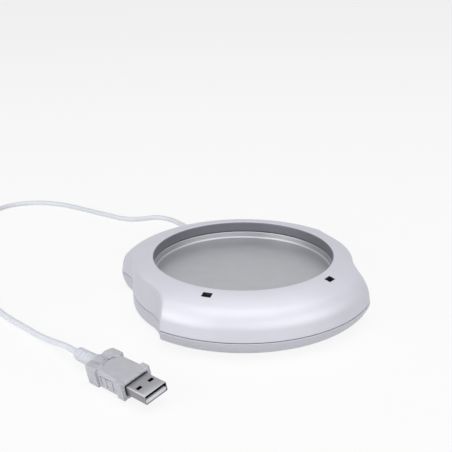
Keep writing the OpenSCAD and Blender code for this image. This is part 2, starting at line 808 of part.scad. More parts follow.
top_cover();
base_tray();
rubber_feet();
cover_screws();
heating_plate();
plate_gasket();
plate_carrier();
heater_film();
heater_track();
insulation_pad();
pressure_plate();
plate_studs();
stud_nuts();
thermal_cutout();
circuit_board();
board_components();
board_screws();
indicator_leds();
window_lenses();
switch_body();
switch_terminals();
switch_knob();
heater_leads();
switch_leads();
supply_leads();
inner_cord();
cable_clamp();
clamp_screws();
cord_grommet();
cord_to_coil();
cord_coil();
cord_tie();
cord_to_plug();
plug_shell();
plug_tongue();
plug_contacts();
plug_core();
plug_cover();
plug_boot();
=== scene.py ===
import math

import bmesh
import bpy
from mathutils import Matrix, Vector


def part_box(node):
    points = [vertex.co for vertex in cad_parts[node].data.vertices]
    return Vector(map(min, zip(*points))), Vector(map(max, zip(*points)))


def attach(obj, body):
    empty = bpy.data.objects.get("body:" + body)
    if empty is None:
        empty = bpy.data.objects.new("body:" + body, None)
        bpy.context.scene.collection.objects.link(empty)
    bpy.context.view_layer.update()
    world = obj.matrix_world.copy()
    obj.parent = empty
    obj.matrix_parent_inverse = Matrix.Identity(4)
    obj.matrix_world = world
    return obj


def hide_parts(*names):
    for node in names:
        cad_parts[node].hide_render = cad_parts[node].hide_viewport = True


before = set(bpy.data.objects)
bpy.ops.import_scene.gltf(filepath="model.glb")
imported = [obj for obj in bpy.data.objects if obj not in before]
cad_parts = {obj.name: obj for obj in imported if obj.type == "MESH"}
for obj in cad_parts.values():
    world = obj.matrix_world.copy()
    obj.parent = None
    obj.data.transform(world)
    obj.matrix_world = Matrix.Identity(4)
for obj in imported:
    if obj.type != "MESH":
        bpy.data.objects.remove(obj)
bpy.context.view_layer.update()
scene = bpy.context.scene
mm = 0.001

# ---- Camera ------------------------------------
# A long lens in front of the warmer and a little to its left, looking down by
# about 20 degrees, so that the dish, the front lobe and the plug all show.
camera_at = Vector((-126.7, -410.07, 201.17)) * mm
camera_aim = Vector((22.2, 109.18, 0)) * mm
camera_roll = math.radians(-0.478)
camera_lens = 70.96

camera = bpy.data.objects.new("camera", bpy.data.cameras.new("camera"))
scene.collection.objects.link(camera)
camera.data.lens = camera_lens
camera.data.clip_start = 0.01
aim = (camera_aim - camera_at).to_track_quat("-Z", "Y").to_matrix().to_4x4()
camera.matrix_world = Matrix.Translation(camera_at) @ aim @ Matrix.Rotation(camera_roll, 4, "Z")
scene.camera = camera

# ---- Cord --------------------------------------
# About 0.95 m of limp white vinyl cord, 3 mm thick. It leaves the rear lobe, wanders over
# the table, is wound into a small tied coil, and comes back to its plug.
cord_d = 3.0
lie_z = cord_d / 2 + 0.1
exit_z = 6.2
inner_end = 67.0
grommet_end = 78.0

# The stored coil: three columns of turns side by side, in two layers
coil_at = Vector((-150, 80))
coil_mean_r = 16.6
coil_pitch = cord_d + 0.2
coil_base = 0.6
coil_top = coil_base + 2 * coil_pitch
coil_touch = coil_at.x + coil_mean_r + coil_pitch
low_z = coil_base + coil_pitch / 2
high_z = low_z + coil_pitch

# How the plug lies: turned on the table, on the bevel beside its keel, its mouth a little up
plug_at = Vector((-66.1, -91.8))
plug_turn, plug_roll, plug_pitch = math.radians(-60.8), math.radians(10.8), math.radians(1.9)
shell_l, collar_l, grip_l, shoulder_l, taper_l, boot_l = 12.5, 4.0, 14.0, 6.5, 2.5, 15.0
collar_x = -shell_l
grip_x = collar_x - collar_l
back_x = grip_x - grip_l
taper_x = back_x - shoulder_l
rear_x = taper_x - taper_l
tail_x = rear_x - boot_l
keel_half, back_low = 2.0, -5.5
table_gap = 0.05
cord_in_boot = 5
keel_drop = taper_x * math.sin(plug_pitch) + back_low * math.cos(plug_pitch)
plug_z = keel_half * math.sin(plug_roll) + table_gap - keel_drop * math.cos(plug_roll)
plug_frame = (
    Matrix.Translation((*plug_at, plug_z)) @ Matrix.Rotation(plug_turn, 4, "Z")
    @ Matrix.Rotation(plug_roll, 4, "X") @ Matrix.Rotation(-plug_pitch, 4, "Y")
)
plug_tail = plug_frame @ Vector((tail_x, 0, 0))
cord_end = plug_frame @ Vector((tail_x + cord_in_boot, 0, 0))

rear_route = [
    (0, inner_end, exit_z), (0, grommet_end, exit_z), (0, 82, 6), (0, 88, 4.8), (-0.5, 95, 3),
    (-1.5, 102, 1.9), (-3.5, 110, lie_z), (-7, 120, lie_z), (-12, 129.5, lie_z),
    (-19, 134.5, lie_z), (-27, 134.5, lie_z), (-34, 135.5, lie_z), (-41, 140, lie_z),
    (-47, 147, lie_z), (-53, 154, lie_z), (-60, 162.5, lie_z), (-68, 172, lie_z),
    (-78, 181.5, lie_z), (-90, 188, lie_z), (-103, 189.5, lie_z), (-115, 185, lie_z),
    (-123.5, 175, lie_z), (-128, 161, lie_z), (-129.8, 145, lie_z), (-130.2, 128, lie_z),
    (-130.2, 110, lie_z), (coil_touch, coil_at.y + 16, lie_z),
    (coil_touch, coil_at.y + 4, lie_z + 0.4),
]
front_route = [
    (coil_touch, coil_at.y - 4, coil_top - 1.8), (coil_touch, 66, 4.4), (-130.1, 54, 3),
    (-129.6, 42, 2), (-127.8, 30, lie_z), (-124.4, 18.5, lie_z), (-119.4, 7.5, lie_z),
    (-113.6, -3, lie_z), (-108.5, -12.8, 1.7), (-104, -21.4, 2.5), (-99.9, -29, 3.8),
    (-96.3, -35.8, 4.8), tuple(plug_tail), tuple(cord_end),
]
# How the coil is wound: at each of these angles the cord has just come to this radius and
# height, and it takes the step angle to move there.
step_angle = 50
outer, middle, inner = coil_mean_r + coil_pitch, coil_mean_r, coil_mean_r - coil_pitch
coil_steps = [
    (0, outer, low_z), (350, middle, low_z), (710, inner, low_z),
    (1015, inner, high_z), (1320, middle, high_z), (1680, outer, high_z),
]
coil_turns = 5
coil_points_per_turn = 18


def ease(t):
    """Rises softly from 0 to 1 as t does, and stays level outside."""
    t = min(max(t, 0), 1)
    return t * t * (3 - 2 * t)


def coil_point(angle):
    """Where the cord is after this many degrees of winding."""
    radius, height = coil_steps[0][1:]
    for reached, next_radius, next_height in coil_steps[1:]:
        share = ease((angle - reached + step_angle) / step_angle)
        radius += (next_radius - radius) * share
        height += (next_height - height) * share
    turn = math.radians(-angle)
    return (coil_at.x + radius * math.cos(turn), coil_at.y + radius * math.sin(turn), height)


coil_route = [
    coil_point(360 * i / coil_points_per_turn) for i in range(coil_turns * coil_points_per_turn + 1)
]
cord_points = [Vector(p) * mm for p in rear_route + coil_route + front_route]

cord_curve = bpy.data.curves.new("cord", "CURVE")
cord_curve.dimensions = "3D"
cord_curve.bevel_depth = cord_d / 2 * mm
cord_curve.bevel_resolution = 6
cord_curve.resolution_u = 8
cord_curve.use_fill_caps = True
spline = cord_curve.splines.new("BEZIER")
spline.bezier_points.add(len(cord_points) - 1)
for knot, point in zip(spline.bezier_points, cord_points):
    knot.co = point
    knot.handle_left_type = knot.handle_right_type = "AUTO"
cord = bpy.data.objects.new("cord", cord_curve)
scene.collection.objects.link(cord)
bpy.context.view_layer.update()


def linear(code):
    """An sRGB hex code as linear red, green, blue and alpha."""
    parts = [int(code[i:i + 2], 16) / 255 for i in (1, 3, 5)]
    return [c / 12.92 if c <= 0.04045 else ((c + 0.055) / 1.055) ** 2.4 for c in parts] + [1]


def every(size):
    """The scale of a pattern whose features are this many millimetres apart."""
    return 1 / (size * mm)


def add(tree, kind, settings=None, **sockets):
    """Adds a shader node with its settings. Each named socket takes a value, an output, or a node,
    which stands for its first output. A socket named _1 is the one with that number."""
    made = tree.nodes.new("ShaderNode" + kind)
    for name, value in (settings or {}).items():
        setattr(made, name, value)
    for name, value in sockets.items():
        socket = made.inputs[int(name[1:]) if name[1:].isdigit() else name.replace("_", " ")]
        if isinstance(value, bpy.types.Node):
            value = value.outputs[0]
        if isinstance(value, bpy.types.NodeSocket):
            tree.links.new(value, socket)
        else:
            socket.default_value = value
    return made


def blank(name):
    """A new material, its empty node tree, and the piece's own coordinates."""
    material = bpy.data.materials.new(name)
    material.use_nodes = True
    material.node_tree.nodes.clear()
    return material, material.node_tree, add(material.node_tree, "TexCoord").outputs["Object"]


def finish(name, dark, light, roughness, grain_size, depth, streaks=0, detail=3.0, swing=0.05, **body):
    """A material with a fine grain in its gloss and skin. The grain, or streaks of a size of their
    own, takes its colour from dark to light. The body is what else the shader is told."""
    material, tree, place = blank(name)
    grain = add(tree, "TexNoise", Vector=place, Scale=every(grain_size), Detail=detail)
    cloud = add(tree, "TexNoise", Vector=place, Scale=every(streaks)) if streaks else grain
    shade = add(tree, "MixRGB", Fac=cloud, Color1=linear(dark), Color2=linear(light))
    rough = add(tree, "MapRange", Value=grain, To_Min=roughness - swing, To_Max=roughness + swing)
    bump = add(tree, "Bump", Height=grain, Distance=depth * mm)
    shader = add(tree, "BsdfPrincipled", Base_Color=shade, Roughness=rough, Normal=bump, **body)
    add(tree, "OutputMaterial", Surface=shader)
    return material


# Extruded plasticised vinyl: milky, evenly smooth, with a soft gloss and a faint waviness.
vinyl = finish(
    "white_vinyl", "#d9dbe3", "#e2e4ea", 0.41, 0.9, 0.02, streaks=6, detail=2.0, IOR=1.53,
    Subsurface_Weight=0.15, Subsurface_Radius=(1, 1, 1), Subsurface_Scale=0.6 * mm,
)
cord_curve.materials.append(vinyl)

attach(cord, "warmer")
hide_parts("cord_to_coil", "cord_coil", "cord_to_plug")

# ---- Coil tie ----------------------------------
# A flat plastic strip with a wire inside, wrapped once round the six strands of the
# coil. Its two ends are twisted together and lie along the coil's top.
tie_w, tie_t = 6.0, 0.5
tie_edge, tie_round = 0.12, 1.6
tie_low, tie_high = [Vector(corner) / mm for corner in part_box("cord_tie")]
tie_half = (tie_high - tie_low) / 2
tie_centre = (tie_high + tie_low) / 2
twist_l, twist_w, twist_t, twist_pitch = 9.0, 1.9, 0.9, 6.0
twist_steps = 36


def rounded_box(half_x, half_z, radius, steps=6):
    """Points (x, z) round a rectangle whose corners are arcs."""
    points = []
    for corner, (sx, sz) in enumerate([(1, 1), (-1, 1), (-1, -1), (1, -1)]):
        for i in range(steps + 1):
            a = math.radians(90 * (corner + i / steps))
            points.append((
                sx * (half_x - radius) + radius * math.cos(a),
                sz * (half_z - radius) + radius * math.sin(a),
            ))
    return points


def loft(bm, rings, closed=False):
    """Adds the skin between rings of points, and over both ends unless the rings close."""
    rings = [[bm.verts.new(point) for point in ring] for ring in rings]
    for ring, after in zip(rings, rings[1:] + (rings[:1] if closed else [])):
        for i in range(len(ring)):
            j = (i + 1) % len(ring)
            bm.faces.new((ring[i], ring[j], after[j], after[i]))
    if not closed:
        bm.faces.new(rings[0])
        bm.faces.new(rings[-1])


def new_piece(bm, name, material, smooth_angle=35):
    """A finished object from a bmesh in millimetres, smooth except along its sharp edges."""
    bmesh.ops.recalc_face_normals(bm, faces=bm.faces)
    if bm.calc_volume(signed=True) < 0:
        bmesh.ops.reverse_faces(bm, faces=bm.faces)
    bmesh.ops.scale(bm, vec=(mm, mm, mm), verts=bm.verts)
    mesh = bpy.data.meshes.new(name)
    bm.to_mesh(mesh)
    bm.free()
    mesh.materials.append(material)
    mesh.shade_smooth()
    mesh.set_sharp_from_angle(angle=math.radians(smooth_angle))
    piece = bpy.data.objects.new(name, mesh)
    scene.collection.objects.link(piece)
    return piece


# The band's four corners in section, each softened: (how far in from its outside, which side)
bm = bmesh.new()
band = []
for depth, side in [(0, -1), (0, 1), (tie_t, 1), (tie_t, -1)]:
    corner = [(tie_edge, 0), (0, tie_edge)]
    if (depth > 0) == (side > 0):
        corner.reverse()
    for soft, along in corner:
        inset = depth + (soft if depth == 0 else -soft)
        band.append([
            tie_centre + Vector((x, side * (tie_w / 2 - along), z))
            for x, z in rounded_box(tie_half.x - inset, tie_half.z - inset, tie_round - depth)
        ])
loft(bm, band, closed=True)
twist = []
for i in range(twist_steps + 1):
    along = twist_l * i / twist_steps
    a = math.tau * along / twist_pitch
    at = Vector((tie_centre.x, tie_low.y - along + 1, coil_top + 1.1 + 0.2 * math.sin(along)))
    twist.append([
        at + Vector((x * math.cos(a) - z * math.sin(a), 0, x * math.sin(a) + z * math.cos(a)))
        for x, z in rounded_box(twist_w / 2, twist_t / 2, 0.3, 3)
    ])
loft(bm, twist)

# Extruded polythene: black, a little waxy, with a slight uneven sheen.
polythene = finish(
    "extruded_polythene", "#1b1b1d", "#262628", 0.485, 0.8, 0.02,
    streaks=2, detail=2.0, swing=0.065, IOR=1.51,
)
tie = new_piece(bm, "coil_tie", polythene)
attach(tie, "warmer")
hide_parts("cord_tie")

# ---- Top cover ---------------------------------
# Moulded ABS, sprayed with satin silver paint. The crown falls slowly from the dish, turns
# over a rounded shoulder, and is cut back on both sides by a soft-edged, leaning notch.
rim_r, body_h = 46.5, 26.5
crown_r, rim_slope, crown_end = 53.4, 6.1, 20.9
shoulder_r, skirt_draft = 11.2, 9.3
waist_r, flank_r, waist_half, notch_forward = 57.7, 29.5, 17.2, 3.3
notch_lean = math.radians(4.3)
seam_z, seam_gap, wall, rim_wall = 9.2, 0.3, 2.0, 1.6
rim_round, edge_round = 0.7, 0.3
low_ridge, high_ridge, ridge_from, ridge_rise = 1.0, 2.2, 12, 8
skirt_z = body_h - 5.5


def turned(degrees):
    """A unit direction in a section: degrees from straight up, towards the rim."""
    return Vector((math.sin(math.radians(degrees)), math.cos(math.radians(degrees))))


def arc(centre, radius, start, stop, steps):
    """Points round a centre in a section, between two directions."""
    return [centre + radius * turned(start + (stop - start) * i / steps) for i in range(steps + 1)]


def line(start, stop, steps):
    """Points spread evenly along a straight stretch."""
    return [start.lerp(stop, i / steps) for i in range(steps + 1)]


crown_c = Vector((rim_r, body_h)) - crown_r * turned(rim_slope)
shoulder_c = crown_c + (crown_r - shoulder_r) * turned(crown_end)


def skirt_at(z, inset):
    """A point on the cover's sloping skirt, or this far inside it, at a height."""
    start = shoulder_c + (shoulder_r - inset) * turned(90 - skirt_draft)
    return Vector((start.x + (start.y - z) * math.tan(math.radians(skirt_draft)), z))


lobe_r = skirt_at(seam_z, 0).x


def outline_radius(angle, z):
    """Distance from the axis to the notch wall at a polar angle and a height. Above the seam the
    wall leans in as it rises. Outside the notches it is far out."""
    off = abs((angle + notch_forward + 90) % 360 - 90)
    other = abs((180 - angle + notch_forward + 90) % 360 - 90)
    beyond = max(min(off, other) - waist_half, 0)
    reach = waist_r + flank_r
    hollow_r = flank_r + max(z - seam_z, 0) * math.tan(notch_lean)
    across = reach * math.sin(math.radians(beyond))
    if beyond > 60 or across > hollow_r:
        return reach
    return reach * math.cos(math.radians(beyond)) - math.sqrt(hollow_r ** 2 - across ** 2)


def smooth_min(a, b, blend):
    """The smaller of two lengths, rounded off where they differ by less than the blend."""
    near = max(blend - abs(a - b), 0) / blend
    return min(a, b) - near * near * blend / 4


tip_past_waist, tip_reach = 14.3, 7
lobe_tips = [
    middle_angle + side * (waist_half + tip_past_waist)
    for middle_angle in (-notch_forward, 180 + notch_forward) for side in (-1, 1)
]
body_angles = [
    quarter / 4 for quarter in range(4 * 360) if quarter % 4 == 0
    or min(abs((quarter / 4 - tip + 180) % 360 - 180) for tip in lobe_tips) < tip_reach
]


def lobed_shell(section, closed=True):
    """A bmesh of a section turned round Z and held inside the notches, whose ridge is softer
    higher up. A section point is a radius, a height and how far it is set in from the notch wall."""
    rings = []
    for radius, z, inset in section:
        ridge = low_ridge + (high_ridge - low_ridge) * ease((z - ridge_from) / ridge_rise)
        ring = []
        for angle in body_angles:
            r = smooth_min(radius, outline_radius(angle, z) - inset, ridge)
            ring.append((r * math.cos(math.radians(angle)), r * math.sin(math.radians(angle)), z))
        rings.append(ring)
    bm = bmesh.new()
    loft(bm, rings, closed)
    return bm


cover_z = seam_z + seam_gap / 2
rim_meet = math.degrees(math.asin((rim_r + rim_round - crown_c.x) / (crown_r - rim_round)))
rim_c = crown_c + (crown_r - rim_round) * turned(rim_meet)
foot_c = skirt_at(cover_z + edge_round, edge_round)
outside = [
    *arc(Vector((rim_r + edge_round, skirt_z + edge_round)), edge_round, 180, 270, 4),
    *line(Vector((rim_r, skirt_z + 1)), Vector((rim_r, rim_c.y - 0.3)), 4),
    *arc(rim_c, rim_round, -90, rim_meet, 6)[:-1],
    *arc(crown_c, crown_r, rim_meet, crown_end, 26)[:-1],
    *arc(shoulder_c, shoulder_r, crown_end, 90 - skirt_draft, 26),
    *line(skirt_at(14, 0), skirt_at(cover_z + 2 * edge_round, 0), 5),
    *arc(foot_c, edge_round, 90, 180, 4),
]
inside = [
    skirt_at(cover_z, wall),
    *arc(shoulder_c, shoulder_r - wall, 90 - skirt_draft, crown_end, 6),
    *arc(crown_c, crown_r - wall, crown_end - 2, rim_slope + 3, 4),
    Vector((rim_r + rim_wall, skirt_z + 3)), Vector((rim_r + rim_wall, skirt_z)),
]
cover_section = [(p.x, p.y, 0) for p in outside] + [(p.x, p.y, wall) for p in inside]


def axis_distance(tree, place):
    """How far each place is from the body's upright axis."""
    axes = add(tree, "SeparateXYZ", Vector=place).outputs
    flat = add(tree, "CombineXYZ", X=axes["X"], Y=axes["Y"])
    return add(tree, "VectorMath", {"operation": "LENGTH"}, _0=flat).outputs["Value"]


def silver_sheen(tree, flake, skin, coat):
    """Lays the paint's sheen over its coat: the flake spreads it and the skin ripples it."""
    rough = add(tree, "MapRange", Value=flake, To_Min=0.50, To_Max=0.58)
    bump = add(tree, "Bump", Height=skin, Distance=0.012 * mm)
    shader = add(
        tree, "BsdfPrincipled", Base_Color=coat, Roughness=rough, Normal=bump, Metallic=0.55, IOR=1.5)
    add(tree, "OutputMaterial", Surface=shader)


# Satin silver paint: fine aluminium flake in a clear binder over ABS. It spreads a lamp into a
# broad soft sheen, and its flake and orange peel only just show. The opening's own wall is
# painted a darker grey, as painted shade.
silver, tree, place = blank("satin_silver_paint")
flake = add(tree, "TexNoise", Vector=place, Scale=every(0.35), Detail=3.0)
cloud = add(tree, "TexNoise", Vector=place, Scale=every(18))
orange_peel = add(tree, "TexNoise", Vector=place, Scale=every(1.6))
speckle = add(tree, "Math", {"operation": "MULTIPLY_ADD"}, _0=flake, _1=0.5, _2=cloud)
spread = add(tree, "MapRange", Value=speckle, From_Min=0.3, From_Max=1.2)
coat = add(tree, "MixRGB", Fac=spread, Color1=linear("#c2c2ca"), Color2=linear("#cacad2"))
# Painted shade: the opening's own wall gets a dark grey in place of the silver.
painted_wall_shade = add(
    tree, "MapRange", Value=axis_distance(tree, place), From_Min=(rim_r + 0.1) * mm,
    From_Max=(rim_r + 0.4) * mm, To_Min=1.0, To_Max=0.0,
)
shade = add(tree, "MixRGB", Fac=painted_wall_shade, Color1=coat, Color2=linear("#76777d"))
skin = add(tree, "Math", {"operation": "MULTIPLY_ADD"}, _0=flake, _1=0.4, _2=orange_peel)
silver_sheen(tree, flake, skin, shade)
cover = new_piece(lobed_shell(cover_section), "silver_cover", silver)


def prism(outline, low, high, at=Matrix()):
    """A bmesh of a flat outline drawn out from one height to another, in a frame of its own."""
    bm = bmesh.new()
    loft(bm, [[at @ Vector((x, y, z)) for x, y in outline] for z in (low, high)])
    return bm


def carve(piece, tools, smooth_angle=35):
    """Cuts the tools, each a bmesh in millimetres, out of a piece."""
    cutters = [new_piece(tool, "cutter", piece.data.materials[0]) for tool in tools]
    for cutter in cutters:
        step = piece.modifiers.new("cut", "BOOLEAN")
        step.object, step.operation, step.solver = cutter, "DIFFERENCE", "EXACT"
    carved = bpy.data.meshes.new_from_object(piece.evaluated_get(bpy.context.evaluated_depsgraph_get()))
    piece.modifiers.clear()
    piece.data = carved
    carved.shade_smooth()
    carved.set_sharp_from_angle(angle=math.radians(smooth_angle))
    for cutter in cutters:
        bpy.data.objects.remove(cutter)


def moulded_plastic(name, dark, light, roughness, grain_size=0.5, depth=0.02, ior=1.5):
    """A moulded plastic or rubber: one even colour, with the fine texture of its mould."""
    return finish(name, dark, light, roughness, grain_size, depth, IOR=ior)


# Two indicator windows in the front lobe, and the switch slot in the right waist wall.
window_angle, window_r = 36, 52.6
window_l, window_w = 4.8, 3.4
switch_z = 15.5
slot_l, slot_h = 7.4, 2.8
window_tools = [
    prism(
        rounded_box(window_w / 2, window_l / 2, 0.25, 3), skirt_z, body_h + 1,
        Matrix.Rotation(math.radians(turn), 4, "Z") @ Matrix.Translation((window_r, 0, 0)),
    )
    for turn in (-90 - window_angle, -90 + window_angle)
]
for face in window_tools[0].faces[:] + window_tools[1].faces[:]:
    face.material_index = 1
# Charcoal ABS on the windows' walls: near-black painted shade inside the windows, in place of the
# silver.
cover.data.materials.append(moulded_plastic("charcoal_window_shade", "#1c1c1e", "#28282a", 0.6, 0.6))
slot_frame = Matrix.Translation((0, 0, switch_z)) @ Matrix.Rotation(math.radians(90), 4, "Y")
slot_tool = prism(rounded_box(slot_h / 2, slot_l / 2, 0.6, 4), waist_r - 4, waist_r + 4, slot_frame)
carve(cover, window_tools + [slot_tool])
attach(cover, "warmer")
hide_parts("top_cover")

# ---- Base tray ---------------------------------
# The lower half of the body, moulded and painted like the cover. It meets the cover at an
# open seam, its foot is rolled under all round, and four screws hold the two together.
under_z, tray_round, tray_end, notch_foot_round = 0.9, 8.8, 98, 2.5
floor_z = under_z + wall
tray_z = seam_z - seam_gap / 2
tray_c = Vector((lobe_r - tray_round, under_z + tray_round))
top_c = Vector((lobe_r - edge_round, tray_z - edge_round))


def foot_inset(z):
    """How far the tray's foot is rolled in from the notch wall at a height."""
    rise = max(under_z + notch_foot_round - z, 0)
    return notch_foot_round - math.sqrt(max(notch_foot_round ** 2 - rise ** 2, 0))


tray_outside = [
    *line(Vector((2, under_z)), Vector((tray_c.x - 0.5, under_z)), 24),
    *arc(tray_c, tray_round, 180, tray_end, 22),
    *arc(top_c, edge_round, 90, 0, 4),
]
tray_inside = [
    Vector((lobe_r - wall, tray_z)),
    *arc(tray_c, tray_round - wall, tray_end, 180, 6),
    Vector((2, floor_z)),
]
tray_section = [(p.x, p.y, foot_inset(p.y)) for p in tray_outside]
tray_section += [(p.x, p.y, wall + 1) for p in tray_inside]

# The same silver paint, a shade darker and less even than the cover.
tray_silver, tree, place = blank("satin_silver_paint_darker")
flake = add(tree, "TexNoise", Vector=place, Scale=every(0.35), Detail=3.0)
orange_peel = add(tree, "TexNoise", Vector=place, Scale=every(1.6))
shade = add(tree, "MixRGB", Fac=flake, Color1=linear("#b9b9c1"), Color2=linear("#c3c3cb"))
silver_sheen(tree, flake, orange_peel, shade)
tray = new_piece(lobed_shell(tray_section, closed=False), "silver_tray", tray_silver)


def ring_of(radius, at, sides=64):
    """Points round a circle about a place."""
    turns = [math.tau * i / sides for i in range(sides)]
    return [(at[0] + radius * math.cos(a), at[1] + radius * math.sin(a)) for a in turns]


def corners_at(radius):
    """The four places near the ends of both lobes."""
    turns = [math.radians(a) for a in (45, 135, 225, 315)]
    return [(radius * math.cos(a), radius * math.sin(a)) for a in turns]


foot_r, foot_place_r, foot_pocket = 5.0, 48.5, 0.8
screw_place_r, head_r, head_z, head_h = 58.5, 2.5, under_z + 0.5, 1.8
field_r, field_depth = 20, 0.3
cord_hole_r = 2.65
behind = Matrix.Translation((0, 0, exit_z)) @ Matrix.Rotation(math.radians(-90), 4, "X")
tray_tools = [prism(ring_of(field_r, (0, 0), 128), 0, under_z + field_depth)]
for place_r, hole_r, hole_top in (
    (foot_place_r, foot_r + 0.1, under_z + foot_pocket), (screw_place_r, head_r + 0.2, head_z + head_h),
):
    tray_tools += [prism(ring_of(hole_r, at), 0, hole_top) for at in corners_at(place_r)]
tray_tools.append(prism(ring_of(cord_hole_r, (0, 0)), lobe_r - 6, lobe_r + 6, behind))
carve(tray, tray_tools)
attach(tray, "warmer")
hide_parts("base_tray")

# ---- Rubber feet -------------------------------
# Four moulded rubber discs, glued into round pockets in the tray. Each stands on a narrow
# ring round a shallow hollow.
foot_section = [
    (0.3, 0.25), (2.6, 0.25), (3.1, 0.1), (3.5, 0.0), (4.3, 0.0), (4.6, 0.05), (4.85, 0.2),
    (foot_r, 0.5), (foot_r, under_z + foot_pocket), (0.3, under_z + foot_pocket),
]


def spin(bm, section, at=Matrix(), sides=64, closed=False):
    """Adds a section of (radius, height) points turned round the Z axis of a frame."""
    rings = [[at @ Vector((*point, z)) for point in ring_of(r, (0, 0), sides)] for r, z in section]
    loft(bm, rings, closed)


# Moulded rubber: near black, matte, with a very fine grain and a dusty bloom.
rubber = finish("moulded_rubber", "#29292b", "#38383a", 0.78, 0.4, 0.03, streaks=3, swing=0.06, IOR=1.52)
bm = bmesh.new()
for at in corners_at(foot_place_r):
    spin(bm, foot_section, Matrix.Translation((*at, 0)))
feet = new_piece(bm, "feet", rubber)
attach(feet, "warmer")
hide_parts("rubber_feet")

# ---- Cover screws ------------------------------
# Four self-tapping steel screws with domed heads and cross recesses, driven up through
# deep wells in the tray into the cover's bosses.
thread_r, root_r, thread_pitch, shank_l = 1.3, 1.0, 1.1, 13.5
shank_z = head_z + head_h
screw_section = [(0.3, head_z), (1.6, head_z + 0.05), (2.2, head_z + 0.3), (head_r, head_z + 0.8)]
screw_section += [(head_r, shank_z), (root_r, shank_z)]
for i in range(int(shank_l / thread_pitch)):
    z = shank_z + thread_pitch * i
    screw_section += [(root_r, z + 0.3), (thread_r, z + 0.55), (root_r, z + 0.8)]
screw_section += [(root_r, shank_z + shank_l - 0.6), (0.3, shank_z + shank_l)]
slot_half, recess_depth = 0.3, 1.0
arm = head_r * 0.6


def cross_at(x, y):
    """The outline of a cross recess about a place."""
    quarter = [(arm, -slot_half), (arm, slot_half), (slot_half, slot_half)]
    points = []
    for _ in range(4):
        points += [(x + px, y + py) for px, py in quarter]
        quarter = [(-py, px) for px, py in quarter]
    return points


def worked_metal(name, dark, light, roughness, grain_size, depth=0.01):
    """Bare or plated metal: even in colour, with a fine grain left by how it was worked."""
    return finish(name, dark, light, roughness, grain_size, depth, Metallic=1.0)


# Zinc-plated steel: a cool mid grey with a dull, slightly cloudy shine.
zinc_plate = worked_metal("zinc_plated_steel", "#9fa0a3", "#b4b5b8", 0.38, 0.6)
bm = bmesh.new()
for at in corners_at(screw_place_r):
    spin(bm, screw_section, Matrix.Translation((*at, 0)), sides=40)
screws = new_piece(bm, "screws", zinc_plate)
carve(screws, [prism(cross_at(*at), 0, head_z + recess_depth) for at in corners_at(screw_place_r)])
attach(screws, "warmer")
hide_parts("cover_screws")

# ---- Heating plate -----------------------------
# One pressed aluminium dish: a flat floor that the mug stands on, a short wall, and a
# flange under the cover. The floor keeps faint rings from the turned press tool.
plate_t, flange_r = 1.2, 50.4
dish_z = body_h - 9.5
flange_z = skirt_z - 0.4
dish_round, lip_round = 1.0, 0.4
dish_c = Vector((rim_r - dish_round, dish_z + dish_round))
lip_c = Vector((rim_r + lip_round, flange_z - lip_round))
plate_section = [
    *line(Vector((0.5, dish_z)), Vector((dish_c.x, dish_z)), 30),
    *arc(dish_c, dish_round, 180, 90, 6)[1:],
    Vector((rim_r, lip_c.y)), *arc(lip_c, lip_round, 270, 360, 4)[1:],
    Vector((flange_r, flange_z)), Vector((flange_r, flange_z - plate_t)),
    Vector((rim_r + plate_t, flange_z - plate_t)),
    *arc(dish_c, dish_round + plate_t, 90, 180, 6),
    Vector((0.5, dish_z - plate_t)),
]

# Pressed aluminium: light grey, soft-shining, with fine tool rings that draw the sheen into an arc.
aluminium, tree, place = blank("pressed_aluminium")
across = add(tree, "CombineXYZ", X=axis_distance(tree, place))
tool_rings = add(tree, "TexNoise", Vector=across, Scale=every(0.7), Detail=3.0)
cloud = add(tree, "TexNoise", Vector=place, Scale=every(9))
shade = add(tree, "MixRGB", Fac=cloud, Color1=linear("#a6a7aa"), Color2=linear("#afb0b3"))
rough = add(tree, "MapRange", Value=tool_rings, To_Min=0.38, To_Max=0.52)
bump = add(tree, "Bump", Height=tool_rings, Distance=0.006 * mm)
shader = add(tree, "BsdfPrincipled", Base_Color=shade, Roughness=rough, Normal=bump, Metallic=0.95)
add(tree, "OutputMaterial", Surface=shader)
bm = bmesh.new()
spin(bm, plate_section, sides=192)
plate = new_piece(bm, "aluminium_dish", aluminium)
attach(plate, "warmer")
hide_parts("heating_plate")

# ---- Plate gasket ------------------------------
# A flat silicone washer that the cover's rib presses onto the plate's flange, to keep
# spilt drinks out of the body.


def dress(node_name, material):
    """Gives a piece of the frame its finish."""
    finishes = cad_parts[node_name].data.materials
    finishes.clear()
    finishes.append(material)


# Silicone rubber: off-white, soft, with a dry satin look.
dress("plate_gasket", moulded_plastic("silicone_rubber", "#d2d2cf", "#dcdcd8", 0.55, 1.0, ior=1.41))

# ---- Plate carrier -----------------------------
# A ring on four legs that holds the plate up from the tray. It is moulded in nylon
# filled with glass fibre, because it stands against the hot plate.
# The fibre shows as a dull charcoal surface with a fine, dry grain.
dress("plate_carrier", moulded_plastic("glass_filled_nylon", "#333338", "#3f3f44", 0.62, ior=1.53))

# ---- Heater film and track ---------------------
# The heater is an etched alloy track on an amber polyimide film, pressed flat against
# the plate's underside.
# Polyimide film: clear amber over the metal behind it, glossy, with slow waves.
dress("heater_film", moulded_plastic("polyimide_film", "#b1732a", "#c2853a", 0.30, 3.0, 0.01, 1.7))
# Etched alloy foil: warm grey, half shiny, with the fine lines of its rolling.
dress("heater_track", worked_metal("etched_alloy_foil", "#87807a", "#958d86", 0.40, 0.5))

# ---- Pad and pressure plate --------------------
# A felt pad spreads the load over the heater. A steel plate on three studs and nuts
# presses it up.
# Felted mineral fibre: creamy, matte and visibly hairy.
dress("insulation_pad", moulded_plastic("felted_fibre", "#dcd9cd", "#e8e6dc", 0.93, 0.4, 0.15))
for steel_piece in ("pressure_plate", "plate_studs", "stud_nuts"):
    dress(steel_piece, zinc_plate)

